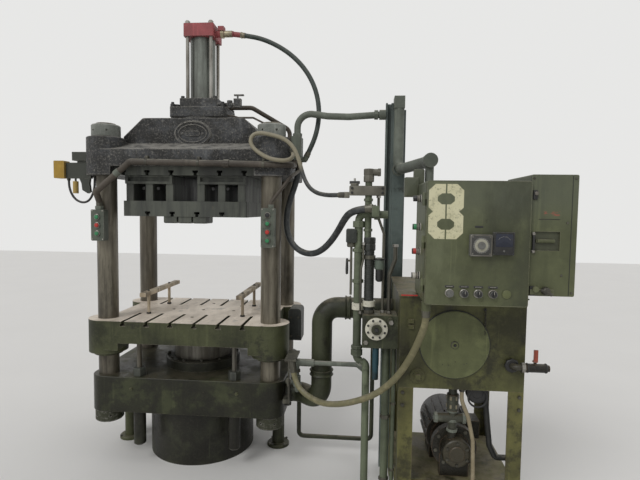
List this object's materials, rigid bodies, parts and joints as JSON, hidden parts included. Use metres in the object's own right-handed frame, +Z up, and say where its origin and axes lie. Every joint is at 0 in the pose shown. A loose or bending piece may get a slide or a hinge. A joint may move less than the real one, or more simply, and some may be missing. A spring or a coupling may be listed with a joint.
{
  "type": "compression molding press",
  "caption": "Four-column up-acting hydraulic molding press with a T-slotted moving table, ribbed head, head cylinder, piping and a tank stand with control cabinet.",
  "frame": {"origin": "on the floor under the centre of the four columns, at the bottom of the main cylinder", "axes": "+X to the right of the operator, +Y away from the operator, +Z up along the columns"},
  "size_m": [3.232, 1.7843, 3.2242],
  "materials": {
    "green_paint": "old oily machine green",
    "ground_steel": "ground, oily",
    "oily_steel": "dark, oily",
    "button_plastic": "worn",
    "hose_rubber": "aged, dusty",
    "yellow_paint": "dirty yellow",
    "red_paint": "faded red"
  },
  "bodies": {
    "root": {"bottom_bolster": "green_paint", "main_cylinder": "green_paint", "cylinder_gland": "oily_steel", "press_feet": "green_paint", "columns": "ground_steel", "column_nuts": "green_paint", "rod_glands": "oily_steel", "head_casting": "green_paint", "upper_bolster": "oily_steel", "spacer_rails": "oily_steel", "spacer_bars": "oily_steel", "die_plate": "oily_steel", "die_clamps": "oily_steel", "top_cylinder_flange": "green_paint", "top_cylinder_tube": "green_paint", "top_cylinder_cap": "red_paint", "top_tie_rods": "oily_steel", "control_station_left": "green_paint", "control_station_right": "green_paint", "station_buttons": "button_plastic", "tank_body": "green_paint", "tank_top": "green_paint", "tank_floor": "green_paint", "tank_cover": "green_paint", "stand_frame": "green_paint", "pump": "green_paint", "motor": "green_paint", "control_cabinet": "green_paint", "side_cabinet": "green_paint", "cabinet_buttons": "button_plastic", "drain_valve": "green_paint", "standpipe": "green_paint", "return_pipe": "green_paint", "main_pipe": "green_paint", "pressure_pipe": "green_paint", "drain_pipe": "green_paint", "valve_block": "green_paint", "riser_pipes": "green_paint", "rod_cylinders": "green_paint", "side_valve": "green_paint", "switch_box": "yellow_paint", "head_junction": "green_paint", "head_conduits": "green_paint", "cross_pipe": "green_paint", "head_hose": "hose_rubber", "loop_hose": "hose_rubber", "valve_hose": "hose_rubber", "cabinet_hose": "hose_rubber", "switch_cable": "hose_rubber"},
    "table": {"moving_table": "green_paint", "main_ram": "ground_steel", "guide_bushings": "ground_steel", "ejector_bar_left": "oily_steel", "ejector_bar_right": "oily_steel", "pullback_rods": "ground_steel", "table_guard": "green_paint"},
    "door": {"cabinet_door": "green_paint", "door_devices": "button_plastic"},
    "lever": {"drain_lever": "red_paint"}
  },
  "joints": [
    {"name": "table_lift", "type": "slide", "parent": "root", "child": "table", "axis": [0, 0, 1], "range_m": [0, 0.45]},
    {"name": "door_hinge", "type": "hinge", "parent": "root", "child": "door", "pos_m": [1.522, -1.264, 1.69], "axis": [0, 0, -1], "range_deg": [0, 110]},
    {"name": "drain_lever_turn", "type": "hinge", "parent": "root", "child": "lever", "pos_m": [2.14, -1.0753, 1.063], "axis": [0, 0, 1], "range_deg": [0, 90]}
  ]
}
